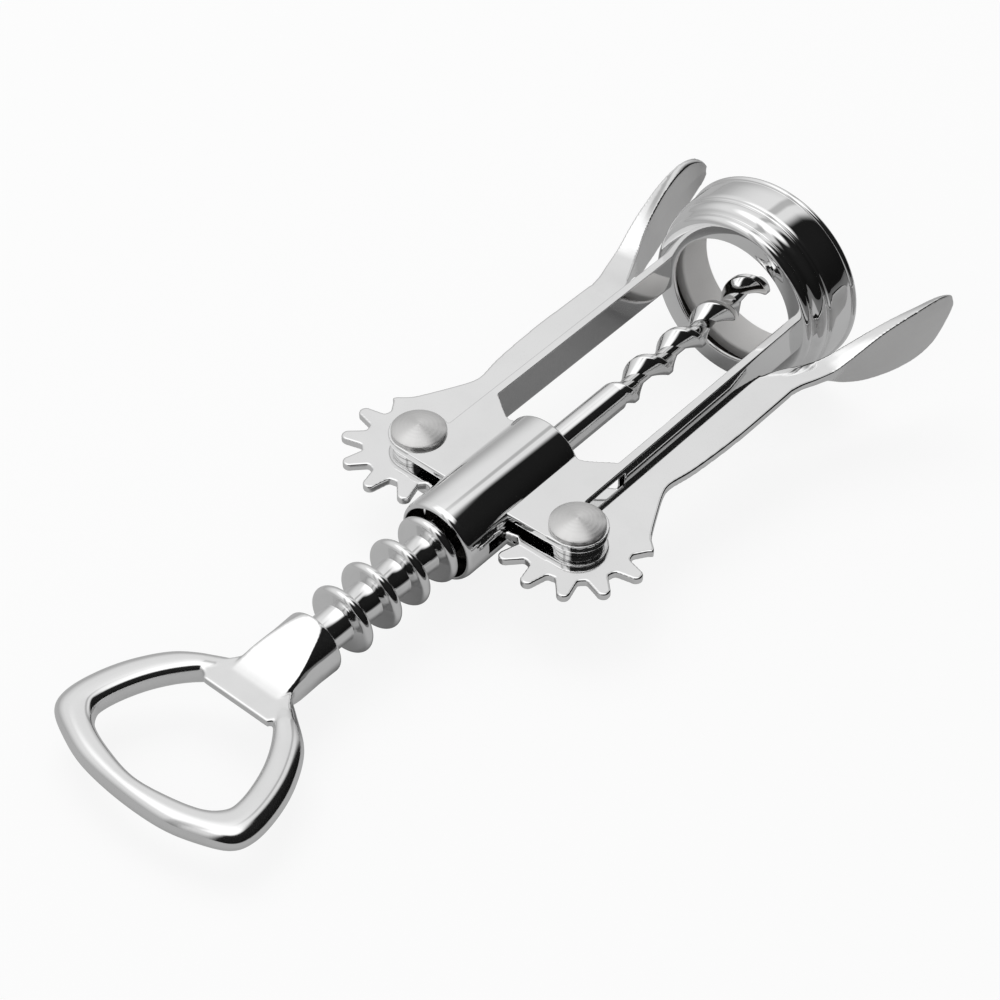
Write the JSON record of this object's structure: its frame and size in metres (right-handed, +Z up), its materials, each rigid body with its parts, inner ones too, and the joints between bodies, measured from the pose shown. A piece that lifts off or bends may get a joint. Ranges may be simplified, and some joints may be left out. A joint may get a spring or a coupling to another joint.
{
  "type": "lever corkscrew",
  "caption": "Lever corkscrew with geared side levers, a ringed rack, an open worm, a bottle collar and a bottle-opener loop handle.",
  "frame": {"origin": "middle of the part's extent across and along, at the collar's underside as it lies flat", "axes": "+Y along the worm from the opener handle to the bottle collar, +Z up off the face it lies on, +X towards the right lever"},
  "size_m": [0.0584, 0.1684, 0.036],
  "materials": {
    "chrome": "mirror-polished chrome plate",
    "worm_chrome": "bright plated worm",
    "lever_chrome": "polished flats, satin leaves",
    "rivet_steel": "spun satin heads",
    "liner": "satin grey sleeve"
  },
  "bodies": {
    "frame": {"frame_body": "chrome", "collar": "chrome", "collar_liner": "liner", "right_rivet": "rivet_steel", "left_rivet": "rivet_steel", "right_front_washer": "chrome", "right_back_washer": "chrome", "left_front_washer": "chrome", "left_back_washer": "chrome"},
    "rack": {"rack": "chrome"},
    "spindle": {"handle": "chrome", "worm": "worm_chrome", "retaining_ring": "chrome"},
    "right_lever": {"right_lever": "lever_chrome"},
    "left_lever": {"left_lever": "lever_chrome"}
  },
  "joints": [
    {"name": "rack_slide", "type": "slide", "parent": "frame", "child": "rack", "axis": [0, 1, 0], "range_m": [0, 0.0255]},
    {"name": "spindle_spin", "type": "hinge", "parent": "rack", "child": "spindle", "pos_m": [-0.00041, -0.00383, 0.018], "axis": [0, 1, 0], "continuous": true},
    {"name": "right_lever_pivot", "type": "hinge", "parent": "frame", "child": "right_lever", "pos_m": [0.01573, -0.00383, 0.018], "axis": [0, 0, -1], "range_deg": [0, 120.4]},
    {"name": "left_lever_pivot", "type": "hinge", "parent": "frame", "child": "left_lever", "pos_m": [-0.01655, -0.00383, 0.018], "axis": [0, 0, 1], "range_deg": [0, 120.4]}
  ],
  "couplings": [
    {"joint": "right_lever_pivot", "follows": "rack_slide", "rad_per_m": 82.327},
    {"joint": "left_lever_pivot", "follows": "rack_slide", "rad_per_m": 82.327}
  ]
}
